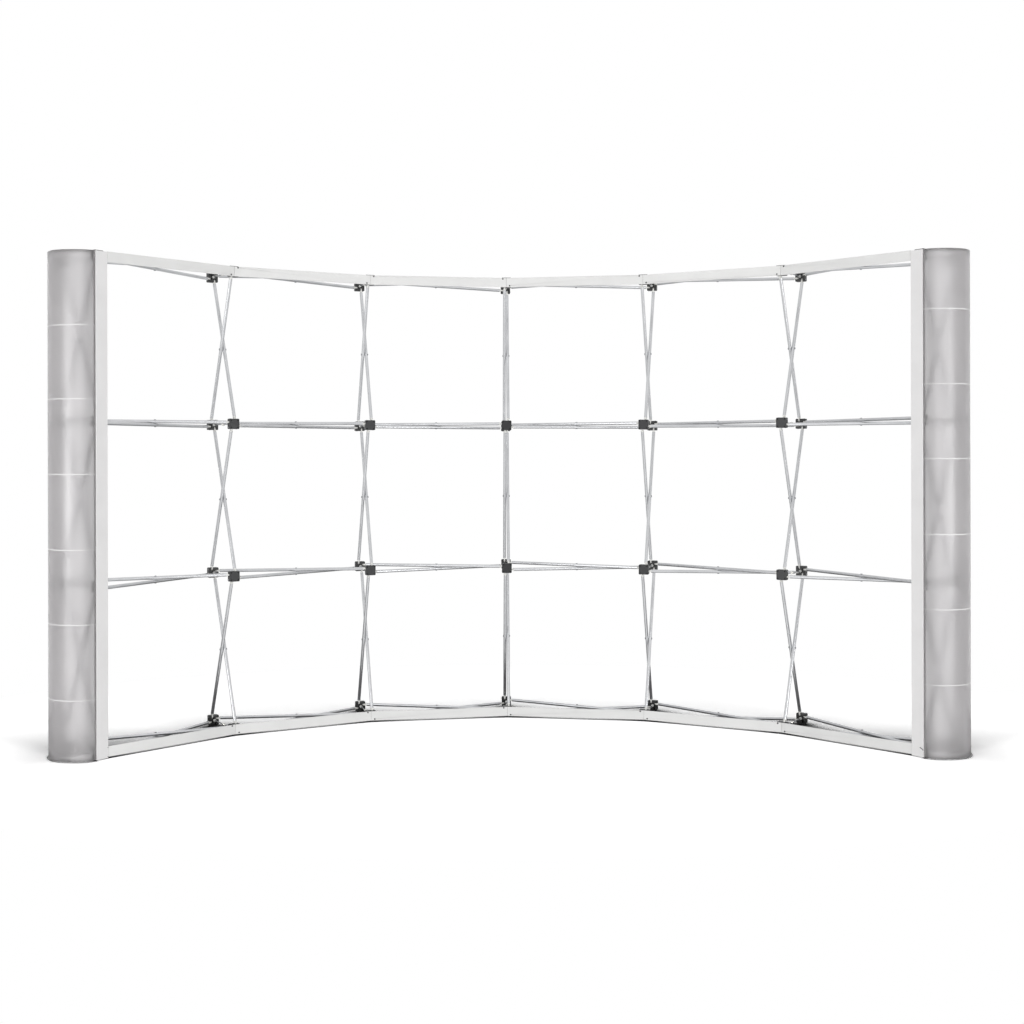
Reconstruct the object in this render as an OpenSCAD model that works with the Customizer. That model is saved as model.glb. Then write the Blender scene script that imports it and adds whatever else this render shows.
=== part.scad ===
// Curved pop-up display backwall, shown as its bare frame.
// Hub pairs stand on seven columns and four rows. Crossed tubes join each hub to
// its neighbours, a locking arm holds each pair apart, and thin bars, end posts
// and translucent end panels close the outline. Lengths are in millimetres.
// +X runs along the wall, -Y faces the viewer and +Z is up.

/* [Layout] */
// Angle between two hub columns, seen from above
bay_angle = 17.45; // [14:0.05:20]
// Radius of the curve at the outer faces of the front hubs
front_r = 2296; // [2100:1:2500]
// Distance from the front hub faces to the rear hub faces
wall_depth = 279; // [255:1:300]
// Height from one hub row to the next
row_pitch = 733; // [600:1:760]

/* [Hubs] */
// Width and height of a hub
hub_w = 50; // [48:0.5:56]
// Depth of a hub, from its outer face to its open side
hub_depth = 26; // [24:0.5:32]
// Thickness of the hub's face plate
plate_t = 5; // [4:0.5:6.5]
// Corner radius of a hub
hub_corner_r = 5; // [3:0.5:7]
// Depth of the sunk panel in the hub's face
face_sink = 0.8; // [0.4:0.1:1.5]
// Rim left around the sunk panel
face_rim = 3; // [2:0.5:3.5]
// Height of the rubber feet under the lowest hubs
foot_h = 8; // [5:0.5:12]
// Width of a foot along the wall
foot_w = 38; // [20:1:46]
// Depth of a foot
foot_depth = 20; // [12:1:24]
// Chamfer along a foot's lower edges
foot_chamfer = 1.5; // [0.5:0.1:3]
// Distance of each pivot from the hub's centre line
pivot_out = 16; // [15.5:0.1:17]
// Distance of each pivot from the hub's outer face
pivot_in = 15; // [13.5:0.1:16.5]

/* [Tubes] */
// Outer diameter of a frame tube
tube_d = 16; // [14:0.5:17]
// Wall of a frame tube
tube_wall = 1.2; // [0.8:0.1:2]
// Gap between the two tubes of a crossed pair
cross_gap = 0.5; // [0.3:0.1:1]
// Thickness of the flat tongue of a tube tip
tongue_t = 8; // [6.5:0.1:9]
// Width of the tongue
tongue_w = 14; // [10:0.5:14.5]
// Distance from a pivot to the end of its tube
tip_reach = 20; // [18:0.5:30]
// Length of the tip's round collar
collar_l = 3; // [2:0.5:4]
// Length of the tip's spigot inside the tube
spigot_l = 18; // [10:1:40]
// Diameter of the pivot stubs on a tip
stub_d = 5; // [3.5:0.1:6]
// Length of each pivot stub beyond the tongue
stub_l = 4; // [2:0.1:4.5]

/* [Rivets] */
// Shank diameter of the rivet where two tubes cross
rivet_d = 5; // [3:0.1:7]
// Diameter of a rivet head
rivet_head_d = 10; // [8:0.1:12]
// Thickness of a rivet head
rivet_head_t = 2; // [1:0.1:3]

/* [Locking arms] */
// Diameter of an arm's rod
arm_d = 7; // [5:0.1:9]
// Diameter of an arm's foot on the hub
arm_foot_d = 12; // [10:0.1:13]
// Length of an arm's foot
arm_foot_l = 14; // [6:0.5:30]
// Diameter of the peg that holds an arm in its hub
arm_root_d = 6; // [4:0.1:7]
// Depth of that peg in the hub
arm_root_l = 10; // [6:0.5:12]
// Diameter of the magnet barrel where two arms meet
magnet_d = 13; // [11:0.1:16]
// Length of the magnet barrel
magnet_l = 14; // [8:0.5:24]
// Thickness of the keeper disc on the rear arm
keeper_t = 4; // [2:0.5:6]

/* [Bars and pegs] */
// Height of a top or bottom bar
bar_h = 47; // [40:0.5:49.5]
// How far a bar's middle lies below the middle of its hubs
bar_drop = 1; // [0:0.1:1]
// Thickness of a bar
bar_t = 3; // [2:0.1:3.5]
// Gap between the ends of two neighbouring bars
bar_gap = 0.9; // [0.8:0.1:2]
// Chamfer along the long edges of a bar
bar_chamfer = 0.8; // [0.3:0.1:1.2]
// Diameter of a locating peg
peg_d = 6; // [4:0.1:6.5]
// Distance of a peg from the hub's centre, sideways and up
peg_out = 17.5; // [17:0.1:18]
// Depth of a peg's socket in the hub
socket_l = 8; // [6:0.5:10]
// How far a peg stands out of its bar
peg_proud = 1.1; // [0.5:0.1:1.4]

/* [End posts] */
// Width of an end post
post_w = 58; // [50:0.5:70]
// Depth of an end post
post_depth = 9; // [8:0.5:14]
// Wall of an end post
post_wall = 2; // [1.5:0.1:3]
// How far a post reaches outwards from the hub's centre line
post_out = 21; // [14:0.5:22]
// Width of the lips along a post's open back
post_lip = 10; // [5:0.5:14]
// Depth of the plug in a post's cap
cap_plug = 12; // [6:1:30]
// Thickness of a post's end cap
cap_t = 2; // [1:0.1:4]

/* [End panels] */
// Height of the end posts and end panels above the floor
panel_top = 2253; // [1850:1:2330]
// Thickness of the end panel's sheet
sheet_t = 1; // [0.6:0.1:1.5]
// How far an end panel's bend reaches beyond its straight edges
bulge = 112; // [80:1:220]
// Fullness of the bend: 2 is a half ellipse, less is a slimmer nose
bend_full = 1.7; // [1.5:0.05:2.2]
// Straight edge of the sheet beyond the end post
edge_flat = 8; // [7.5:0.5:30]
// How far the rear edge reaches inwards past the hub's centre line
rear_lap = 18; // [10:0.5:24]
// Thickness of the magnetic strip behind a panel's edge
strip_t = 1.5; // [1:0.1:2]

/* [Hidden] */
$fn = 40;
bays = 6;
cells = 3;
floor_gap = 3.5;   // posts and panels clear the floor by this much
seat_gap = 0.3;    // between a piece that lifts off and what it lies on
pivot_gap = 0.08;  // radial play of stubs and rivets
slot_gap = 0.3;    // play of a tongue in its slot, each side
spigot_gap = 0.1;  // radial play of a spigot in its tube
peg_play = 0.75;   // radial play of a peg in its bar
post_gap = 0.5;    // between a post and what ends beside it
dome_step = 0.6;   // rounding of peg and rivet ends

side = (tube_d + cross_gap) / 2;     // each tube runs this far beside the hub's centre
slot_w = tongue_t + 2 * slot_gap;
slot_root = pivot_out - tongue_w / 2 - 1;
rear_r = front_r + wall_depth;
front_pivot_r = front_r + pivot_in;
rear_pivot_r = rear_r - pivot_in;
hub_row_0 = foot_h + hub_w / 2;
half_bay = bay_angle / 2;
end_angle = bays / 2 * bay_angle;
strip_l = post_out + rear_lap;

// Crossed tubes between two columns, seen from above in the bay's own frame
row_front_x = front_pivot_r * sin(half_bay) - pivot_out * cos(half_bay);
row_front_y = front_pivot_r * cos(half_bay) + pivot_out * sin(half_bay);
row_rear_x = rear_pivot_r * sin(half_bay) - pivot_out * cos(half_bay);
row_rear_y = rear_pivot_r * cos(half_bay) + pivot_out * sin(half_bay);
row_span = norm([row_front_x + row_rear_x, row_rear_y - row_front_y]);
row_turn = atan2(row_rear_y - row_front_y, row_front_x + row_rear_x);
row_cross = row_span * row_front_x / (row_front_x + row_rear_x);

// Crossed tubes between two rows, seen from the side
column_rise = row_pitch - 2 * pivot_out;
column_run = rear_pivot_r - front_pivot_r;
column_span = norm([column_rise, column_run]);
column_turn = atan2(column_rise, column_run);

// Bend of an end panel about this centre in the end column's frame
sheet_front = -seat_gap - strip_t - sheet_t;
sheet_rear = wall_depth + seat_gap + strip_t + sheet_t;
bend_mid = (sheet_front + sheet_rear) / 2;
bend_half = (sheet_rear - sheet_front) / 2;
bend_start = post_out + edge_flat;

// The bend as points, in a distance outwards and a distance to the rear
bend_steps = 48;
bend_nudge = 0.01;   // part of a step over which the bend's direction is taken
function bend_part(value) = sign(value) * pow(abs(value), 2 / bend_full);
function bend_point(i) = let (angle = -90 + 180 * i / bend_steps)
    [bend_start + bulge * bend_part(cos(angle)), bend_mid + bend_half * bend_part(sin(angle))];
bend_outer = [for (i = [0 : bend_steps]) bend_point(i)];
// The same bend, one sheet thickness further in
bend_inner = [for (i = [0 : bend_steps])
    let (along = bend_point(i + bend_nudge) - bend_point(i - bend_nudge))
        bend_point(i) + sheet_t * [-along[1], along[0]] / norm(along)];

// The origin is at the middle of the whole outline, on the floor
outline_front = min([for (point = bend_outer)
    (front_r + point[1]) * cos(end_angle) - point[0] * sin(end_angle)]);
mid_y = (outline_front + rear_r) / 2;

// Pegs stand on one diagonal of a hub (1) or on the other (-1), column by column
top_pegs = [1, 1, 1, -1, -1, 1, 1];
bottom_pegs = [-1, -1, -1, -1, -1, -1, -1];

function row_z(row) = hub_row_0 + row * row_pitch;

// Columns count from 0 at the left, rows from 0 at the floor.
// In a column's frame +X runs along the wall and +Y points to the rear.
module at_column(column, radius, z) {
    translate([0, -mid_y, 0])
        rotate([0, 0, (bays / 2 - column) * bay_angle])
            translate([0, radius, z])
                children();
}

// A bay's frame has its origin at the centre of the curve
module at_bay(bay, z) {
    translate([0, -mid_y, 0])
        rotate([0, 0, ((bays - 1) / 2 - bay) * bay_angle])
            translate([0, 0, z])
                children();
}

// A block with round upright corners, its outer face at y = 0
module round_block(w, r, y_low, y_high) {
    translate([0, y_high, 0])
        rotate([90, 0, 0])
            linear_extrude(y_high - y_low)
                union() {
                    square([w - 2 * r, w], center = true);
                    square([w, w - 2 * r], center = true);
                    for (sx = [-1, 1], sy = [-1, 1])
                        translate([sx * (w / 2 - r), sy * (w / 2 - r)])
                            circle(r);
                }
}

// The slot for a tube that leaves the hub upwards, with its pivot hole
module tube_slot() {
    translate([side - slot_w / 2, plate_t, slot_root])
        cube([slot_w, hub_depth, hub_w]);
    translate([side - tongue_t / 2 - stub_l - slot_gap, pivot_in, pivot_out])
        rotate([0, 90, 0])
            cylinder(d = stub_d + 2 * pivot_gap, h = hub_w);
}

// One hub: face plate, four corner blocks and four slots, each a quarter turn on
module hub() {
    color("#202124")
        difference() {
            round_block(hub_w, hub_corner_r, 0, hub_depth);
            translate([0, -1, 0])
                cube([hub_w - 2 * face_rim, 2 * face_sink + 2, hub_w - 2 * face_rim], center = true);
            for (turn = [0 : 90 : 270])
                rotate([0, turn, 0]) {
                    tube_slot();
                    translate([peg_out, socket_l, peg_out])
                        rotate([90, 0, 0])
                            cylinder(d = peg_d + 2 * pivot_gap, h = socket_l + 1);
                }
            translate([0, hub_depth - arm_root_l, 0])
                rotate([-90, 0, 0])
                    cylinder(d = arm_root_d + 2 * pivot_gap, h = arm_root_l + 1);
        }
}

module front_hubs(row) {
    for (column = [0 : bays])
        at_column(column, front_r, row_z(row))
            hub();
}

module rear_hubs(row) {
    for (column = [0 : bays])
        at_column(column, rear_r, row_z(row))
            rotate([0, 0, 180])
                hub();
}

// A rubber foot under a hub, centred below the hub's depth
module foot() {
    color("#2b2b2d")
        translate([0, (hub_depth + foot_depth) / 2, 0])
            rotate([90, 0, 0])
                linear_extrude(foot_depth)
                    polygon([[-foot_w / 2 + foot_chamfer, 0], [foot_w / 2 - foot_chamfer, 0],
                        [foot_w / 2, foot_chamfer], [foot_w / 2, foot_h],
                        [-foot_w / 2, foot_h], [-foot_w / 2, foot_chamfer]]);
}

module hub_feet() {
    for (column = [0 : bays]) {
        at_column(column, front_r, 0)
            foot();
        at_column(column, rear_r - hub_depth, 0)
            foot();
    }
}

// Tubes and tips lie along +X from a pivot at the origin, the pivot along Z
module tube(span, cross_at) {
    color("#b9babc")
        difference() {
            translate([tip_reach, 0, 0])
                rotate([0, 90, 0])
                    cylinder(d = tube_d, h = span - 2 * tip_reach);
            rotate([0, 90, 0])
                cylinder(d = tube_d - 2 * tube_wall, h = span);
            translate([cross_at, 0, -tube_d])
                cylinder(d = rivet_d + 2 * pivot_gap, h = 2 * tube_d);
        }
}

module tip() {
    color("#e6e6e4") {
        cylinder(d = tongue_w, h = tongue_t, center = true);
        translate([0, -tongue_w / 2, -tongue_t / 2])
            cube([tip_reach - collar_l, tongue_w, tongue_t]);
        cylinder(d = stub_d, h = tongue_t + 2 * stub_l, center = true);
        translate([tip_reach - collar_l, 0, 0])
            rotate([0, 90, 0])
                cylinder(d = tube_d, h = collar_l);
        translate([tip_reach - collar_l, 0, 0])
            rotate([0, 90, 0])
                cylinder(d = tube_d - 2 * tube_wall - 2 * spigot_gap, h = collar_l + spigot_l);
    }
}

// Places a tube of a row's crossed pair in its bay: rearward runs from a front hub
// on the left to a rear hub on the right, forward the other way
module along_rearward(bay, row) {
    at_bay(bay, row_z(row) - side)
        translate([-row_front_x, row_front_y, 0])
            rotate([0, 0, row_turn])
                children();
}

module along_forward(bay, row) {
    at_bay(bay, row_z(row) + side)
        translate([row_front_x, row_front_y, 0])
            rotate([0, 0, 180 - row_turn])
                children();
}

// The same for a column's crossed pair, from the front pivot to the rear one
module along_column_rearward(column, cell) {
    at_column(column, front_pivot_r, row_z(cell) + pivot_out)
        translate([side, 0, 0])
            rotate([column_turn, 0, 0])
                rotate(a = 120, v = [1, 1, 1])
                    children();
}

module along_column_forward(column, cell) {
    at_column(column, front_pivot_r, row_z(cell + 1) - pivot_out)
        translate([-side, 0, 0])
            rotate([-column_turn, 0, 0])
                rotate(a = 120, v = [1, 1, 1])
                    children();
}

module row_tubes_rearward(row) {
    for (bay = [0 : bays - 1])
        along_rearward(bay, row)
            tube(row_span, row_cross);
}

module row_tubes_forward(row) {
    for (bay = [0 : bays - 1])
        along_forward(bay, row)
            tube(row_span, row_cross);
}

module column_tubes_rearward(column) {
    for (cell = [0 : cells - 1])
        along_column_rearward(column, cell)
            tube(column_span, column_span / 2);
}

module column_tubes_forward(column) {
    for (cell = [0 : cells - 1])
        along_column_forward(column, cell)
            tube(column_span, column_span / 2);
}

// The far tip of a tube is the near one turned round at the other pivot
module far_end(span) {
    translate([span, 0, 0])
        rotate([0, 0, 180])
            children();
}

module row_tips_front() {
    for (bay = [0 : bays - 1], row = [0 : cells]) {
        along_rearward(bay, row) tip();
        along_forward(bay, row) tip();
    }
}

module row_tips_rear() {
    for (bay = [0 : bays - 1], row = [0 : cells]) {
        along_rearward(bay, row) far_end(row_span) tip();
        along_forward(bay, row) far_end(row_span) tip();
    }
}

module column_tips_front() {
    for (column = [0 : bays], cell = [0 : cells - 1]) {
        along_column_rearward(column, cell) tip();
        along_column_forward(column, cell) tip();
    }
}

module column_tips_rear() {
    for (column = [0 : bays], cell = [0 : cells - 1]) {
        along_column_rearward(column, cell) far_end(column_span) tip();
        along_column_forward(column, cell) far_end(column_span) tip();
    }
}

// A rivet through both tubes of a crossed pair, centred between them along Z
module rivet() {
    head_low = side + tube_d / 2 + pivot_gap;
    color("#8f9092")
        rotate_extrude()
            polygon([[0, -head_low - rivet_head_t], [rivet_head_d / 2 - dome_step, -head_low - rivet_head_t],
                [rivet_head_d / 2, -head_low - rivet_head_t + dome_step], [rivet_head_d / 2, -head_low],
                [rivet_d / 2, -head_low], [rivet_d / 2, head_low],
                [rivet_head_d / 2, head_low], [rivet_head_d / 2, head_low + rivet_head_t - dome_step],
                [rivet_head_d / 2 - dome_step, head_low + rivet_head_t], [0, head_low + rivet_head_t]]);
}

module cross_rivets() {
    for (bay = [0 : bays - 1], row = [0 : cells])
        along_rearward(bay, row)
            translate([row_cross, 0, side])
                rivet();
    for (column = [0 : bays], cell = [0 : cells - 1])
        along_column_rearward(column, cell)
            translate([column_span / 2, 0, -side])
                rivet();
}

// Locking arms: one on each hub, meeting at a magnet halfway
arm_span = wall_depth - 2 * hub_depth;
arm_meet = arm_span / 2;

// An arm along +Y from the hub's open side, ending where its rod stops
module arm(rod_end) {
    rotate([-90, 0, 0]) {
        translate([0, 0, -arm_root_l + slot_gap])
            cylinder(d = arm_root_d, h = arm_root_l);
        cylinder(d = arm_foot_d, h = arm_foot_l);
        cylinder(d = arm_d, h = rod_end);
    }
}

module front_arms() {
    color("#5c5d60")
        for (column = [0 : bays], row = [0 : cells])
            at_column(column, front_r + hub_depth, row_z(row))
                arm(arm_meet - magnet_l);
}

module rear_arms() {
    color("#5c5d60")
        for (column = [0 : bays], row = [0 : cells])
            at_column(column, rear_r - hub_depth, row_z(row))
                rotate([0, 0, 180]) {
                    arm(arm_meet);
                    translate([0, arm_meet - keeper_t, 0])
                        rotate([-90, 0, 0])
                            cylinder(d = magnet_d, h = keeper_t);
                }
}

module arm_magnets() {
    color("#d4d4d2")
        for (column = [0 : bays], row = [0 : cells])
            at_column(column, front_r + hub_depth, row_z(row))
                translate([0, arm_meet - magnet_l, 0])
                    rotate([-90, 0, 0])
                        cylinder(d = magnet_d, h = magnet_l);
}

// A bar lies across two hub faces, square to the middle of its bay
bar_back = (front_r - seat_gap) * cos(half_bay);
bar_front = bar_back - bar_t;
// Height of the bar's outer face in front of the hub face, where the peg goes through
peg_top = seat_gap + peg_out * tan(half_bay) + bar_t / cos(half_bay);
// Where a bar stops beside an end post
post_stop = post_w - post_out + post_gap;

// Half of a bar's length at a distance y from the centre of the curve, when its
// end stands off the column's centre plane by stop
function bar_half(y, stop) = y * tan(half_bay) - stop / cos(half_bay);

module bar(bay, z_hubs, pegs) {
    z_mid = z_hubs - bar_drop;
    left_stop = bay == 0 ? post_stop : bar_gap / 2;
    right_stop = bay == bays - 1 ? post_stop : bar_gap / 2;
    color("#e4e4e4")
        difference() {
            at_bay(bay, z_mid)
                intersection() {
                    translate([0, 0, -bar_h / 2])
                        linear_extrude(bar_h)
                            polygon([[-bar_half(bar_back, left_stop), bar_back],
                                [-bar_half(bar_front, left_stop), bar_front],
                                [bar_half(bar_front, right_stop), bar_front],
                                [bar_half(bar_back, right_stop), bar_back]]);
                    rotate([90, 0, 90])
                        linear_extrude(2 * front_r * tan(half_bay), center = true)
                            polygon([[bar_back, -bar_h / 2], [bar_back, bar_h / 2],
                                [bar_front + bar_chamfer, bar_h / 2],
                                [bar_front, bar_h / 2 - bar_chamfer],
                                [bar_front, -bar_h / 2 + bar_chamfer],
                                [bar_front + bar_chamfer, -bar_h / 2]]);
                }
            if (bay > 0)
                at_column(bay, front_r, z_hubs)
                    translate([peg_out, 0, pegs[bay] * peg_out])
                        rotate([90, 0, 0])
                            cylinder(d = peg_d + 2 * peg_play, h = 4 * hub_depth, center = true);
            if (bay < bays - 1)
                at_column(bay + 1, front_r, z_hubs)
                    translate([-peg_out, 0, -pegs[bay + 1] * peg_out])
                        rotate([90, 0, 0])
                            cylinder(d = peg_d + 2 * peg_play, h = 4 * hub_depth, center = true);
        }
}

module top_bar(bay) {
    bar(bay, row_z(cells), top_pegs);
}

module bottom_bar(bay) {
    bar(bay, row_z(0), bottom_pegs);
}

// A peg seated in a hub's corner socket, its rounded end towards the viewer
module peg() {
    rotate([90, 0, 0])
        rotate_extrude()
            polygon([[0, -socket_l], [peg_d / 2, -socket_l], [peg_d / 2, peg_top + peg_proud - dome_step],
                [peg_d / 2 - dome_step, peg_top + peg_proud], [0, peg_top + peg_proud]]);
}

module locating_pegs() {
    color("#2a2a2c")
        for (column = [1 : bays - 1], side_x = [-1, 1]) {
            at_column(column, front_r, row_z(cells))
                translate([side_x * peg_out, 0, side_x * top_pegs[column] * peg_out])
                    peg();
            at_column(column, front_r, row_z(0))
                translate([side_x * peg_out, 0, side_x * bottom_pegs[column] * peg_out])
                    peg();
        }
}

// An end piece is drawn for the right end, outwards along +X, and mirrored for the left
module at_end(right) {
    mirror([right ? 0 : 1, 0, 0])
        at_column(bays, front_r, 0)
            children();
}

// A lipped channel, open towards the hubs
module post(right) {
    post_in = post_w - post_out;
    color("#ececec")
        at_end(right)
            translate([0, 0, floor_gap + cap_t])
                linear_extrude(panel_top - floor_gap - 2 * cap_t)
                    difference() {
                        translate([-post_in, -seat_gap - post_depth])
                            square([post_w, post_depth]);
                        translate([-post_in + post_wall, -seat_gap - post_depth + post_wall])
                            square([post_w - 2 * post_wall, post_depth - 2 * post_wall]);
                        translate([-post_in + post_lip, -seat_gap - 2 * post_wall])
                            square([post_w - 2 * post_lip, 3 * post_wall]);
                    }
}

// A flat cap on each end of the post, with a plug inside the channel
module post_caps(right) {
    post_in = post_w - post_out;
    plug_x = -post_in + post_wall + seat_gap;
    plug_y = -seat_gap - post_depth + post_wall + seat_gap;
    color("#dcdcdc")
        at_end(right)
            for (upper = [false, true]) {
                translate([-post_in, -seat_gap - post_depth, upper ? panel_top - cap_t : floor_gap])
                    cube([post_w, post_depth, cap_t]);
                translate([plug_x, plug_y, upper ? panel_top - cap_t - cap_plug : floor_gap + cap_t / 2])
                    cube([post_w - 2 * (post_wall + seat_gap), post_depth - 2 * (post_wall + seat_gap),
                        cap_plug + cap_t / 2]);
            }
}

function reversed(points) = [for (i = [len(points) - 1 : -1 : 0]) points[i]];

module panel(right) {
    front_edge = post_out + post_gap;
    color("#b8b7b8", 0.8)
        at_end(right)
            translate([0, 0, floor_gap])
                linear_extrude(panel_top - floor_gap)
                    polygon(concat([[front_edge, sheet_front]], bend_outer, [[-rear_lap, sheet_rear],
                        [-rear_lap, sheet_rear - sheet_t]], reversed(bend_inner),
                        [[front_edge, sheet_front + sheet_t]]));
}

// Magnetic strips between the sheet's edges and the hubs' faces
module panel_strips(right) {
    front_edge = post_out + post_gap;
    color("#cacaca")
        at_end(right)
            translate([0, 0, floor_gap]) {
                translate([front_edge, -seat_gap - strip_t, 0])
                    cube([bend_start - front_edge, strip_t, panel_top - floor_gap]);
                translate([-rear_lap, wall_depth + seat_gap, 0])
                    cube([strip_l, strip_t, panel_top - floor_gap]);
            }
}

hub_feet();
front_hubs(0);  // front_hubs_1
front_hubs(1);  // front_hubs_2
front_hubs(2);  // front_hubs_3
front_hubs(3);  // front_hubs_4
rear_hubs(0);  // rear_hubs_1
rear_hubs(1);  // rear_hubs_2
rear_hubs(2);  // rear_hubs_3
rear_hubs(3);  // rear_hubs_4
row_tubes_rearward(0);  // row_tubes_rearward_1
row_tubes_rearward(1);  // row_tubes_rearward_2
row_tubes_rearward(2);  // row_tubes_rearward_3
row_tubes_rearward(3);  // row_tubes_rearward_4
row_tubes_forward(0);  // row_tubes_forward_1
row_tubes_forward(1);  // row_tubes_forward_2
row_tubes_forward(2);  // row_tubes_forward_3
row_tubes_forward(3);  // row_tubes_forward_4
column_tubes_rearward(0);  // column_tubes_rearward_1
column_tubes_rearward(1);  // column_tubes_rearward_2
column_tubes_rearward(2);  // column_tubes_rearward_3
column_tubes_rearward(3);  // column_tubes_rearward_4
column_tubes_rearward(4);  // column_tubes_rearward_5
column_tubes_rearward(5);  // column_tubes_rearward_6
column_tubes_rearward(6);  // column_tubes_rearward_7
column_tubes_forward(0);  // column_tubes_forward_1
column_tubes_forward(1);  // column_tubes_forward_2
column_tubes_forward(2);  // column_tubes_forward_3
column_tubes_forward(3);  // column_tubes_forward_4
column_tubes_forward(4);  // column_tubes_forward_5
column_tubes_forward(5);  // column_tubes_forward_6
column_tubes_forward(6);  // column_tubes_forward_7
row_tips_front();
row_tips_rear();
column_tips_front();
column_tips_rear();
cross_rivets();
front_arms();
rear_arms();
arm_magnets();
locating_pegs();
bottom_bar(0);  // bottom_bar_1
bottom_bar(1);  // bottom_bar_2
bottom_bar(2);  // bottom_bar_3
bottom_bar(3);  // bottom_bar_4
bottom_bar(4);  // bottom_bar_5
bottom_bar(5);  // bottom_bar_6
top_bar(0);  // top_bar_1
top_bar(1);  // top_bar_2
top_bar(2);  // top_bar_3
top_bar(3);  // top_bar_4
top_bar(4);  // top_bar_5
top_bar(5);  // top_bar_6
post(false);  // left_post
post(true);  // right_post
post_caps(false);  // left_post_caps
post_caps(true);  // right_post_caps
panel(false);  // left_panel
panel(true);  // right_panel
panel_strips(false);  // left_panel_strips
panel_strips(true);  // right_panel_strips
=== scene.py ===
import math

import bmesh
import bpy
from mathutils import Matrix, Vector


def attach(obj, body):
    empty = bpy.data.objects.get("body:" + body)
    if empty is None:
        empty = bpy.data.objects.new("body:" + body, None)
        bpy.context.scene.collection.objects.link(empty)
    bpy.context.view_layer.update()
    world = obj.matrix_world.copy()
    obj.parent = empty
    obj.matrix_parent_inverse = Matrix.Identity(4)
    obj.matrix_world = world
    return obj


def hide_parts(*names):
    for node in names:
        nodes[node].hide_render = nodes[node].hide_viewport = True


# Curved pop-up exhibition frame on a white studio floor.
# Lengths are in metres unless a note says otherwise: +X runs along the wall,
# -Y faces the viewer and +Z is up.

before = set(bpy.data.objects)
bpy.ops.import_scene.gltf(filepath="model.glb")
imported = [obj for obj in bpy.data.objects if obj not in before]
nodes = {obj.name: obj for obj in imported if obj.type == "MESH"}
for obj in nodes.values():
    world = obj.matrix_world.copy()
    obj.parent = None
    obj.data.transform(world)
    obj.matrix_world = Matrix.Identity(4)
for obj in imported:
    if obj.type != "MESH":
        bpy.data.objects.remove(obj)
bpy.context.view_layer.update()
print("frame loaded:", len(nodes), "nodes")

mm = 0.001

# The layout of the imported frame, which the added pieces sit on
layout = {
    "bays": 6,
    "cells": 3,
    "bayAngle": 17.45,      # degrees between two hub columns
    "frontR": 2296 * mm,    # curve of the front hubs' faces
    "wallDepth": 279 * mm,
    "rowPitch": 733 * mm,
    "hubWidth": 50 * mm,
    "hubDepth": 26 * mm,
    "footHeight": 8 * mm,
    "pivotOut": 16 * mm,    # from a hub's centre line to the pivots of its tubes
    "pivotIn": 15 * mm,     # and from its outer face
    "middleY": 1961.4652 * mm,   # from the centre of the curve to the frame's origin
}


def columnMatrix(column, radius, height):
    # where a hub column stands, +Y of the column pointing to the rear
    turn = math.radians((layout["bays"] / 2 - column) * layout["bayAngle"])
    return (Matrix.Translation((0, -layout["middleY"], 0)) @ Matrix.Rotation(turn, 4, "Z")
            @ Matrix.Translation((0, radius, height)))


def rowHeight(row):
    return layout["footHeight"] + layout["hubWidth"] / 2 + row * layout["rowPitch"]


camera = {
    "place": (-0.1138, -6.2283, 1.3407),
    "yaw": -0.291,          # degrees, as are pitch and roll
    "pitch": -0.007,
    "roll": 0.129,
    "lens": 44.97,          # mm, as is the sensor's width
    "sensor": 36,
    "shift": (0.02056, -0.05433),
    "clipEnd": 100,
}


def buildCamera(settings):
    data = bpy.data.cameras.new("studioCamera")
    data.sensor_width = settings["sensor"]
    data.sensor_fit = "HORIZONTAL"
    data.lens = settings["lens"]
    data.shift_x, data.shift_y = settings["shift"]
    data.clip_end = settings["clipEnd"]
    obj = bpy.data.objects.new("studioCamera", data)
    bpy.context.scene.collection.objects.link(obj)
    turned = (Matrix.Rotation(math.radians(settings["yaw"]), 4, "Z")
              @ Matrix.Rotation(math.radians(settings["pitch"]), 4, "X")
              @ Matrix.Rotation(math.radians(settings["roll"]), 4, "Y")
              @ Matrix.Rotation(math.radians(90), 4, "X"))
    obj.matrix_world = Matrix.Translation(settings["place"]) @ turned
    bpy.context.scene.camera = obj


buildCamera(camera)
bpy.context.scene.view_settings.view_transform = "Standard"
print("camera set")


def toLinear(hexColour):
    # sRGB hex to a linear colour with alpha
    parts = [int(hexColour[i:i + 2], 16) / 255 for i in (1, 3, 5)]
    linear = [c / 12.92 if c <= 0.04045 else ((c + 0.055) / 1.055) ** 2.4 for c in parts]
    return (*linear, 1.0)


def addNode(tree, kind, inputs=None, links=None, **settings):
    # one node with its settings, its fixed inputs and what feeds it
    node = tree.nodes.new(kind)
    for key, value in settings.items():
        setattr(node, key, value)
    for key, value in (inputs or {}).items():
        node.inputs[key].default_value = value
    for key, source in (links or {}).items():
        tree.links.new(source, node.inputs[key])
    return node


def newMaterial(name, **inputs):
    # a material with one Principled shader, ready for its pattern
    material = bpy.data.materials.new(name)
    material.use_nodes = True
    tree = material.node_tree
    tree.nodes.clear()
    shader = addNode(tree, "ShaderNodeBsdfPrincipled", inputs)
    addNode(tree, "ShaderNodeOutputMaterial", links={"Surface": shader.outputs["BSDF"]})
    coords = addNode(tree, "ShaderNodeTexCoord")
    return material, tree, shader, coords.outputs["Object"]


def repeatsPerMetre(sizeInMm):
    # how a noise scale is worked out from the size of one grain in millimetres
    return 1000.0 / sizeInMm


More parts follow.
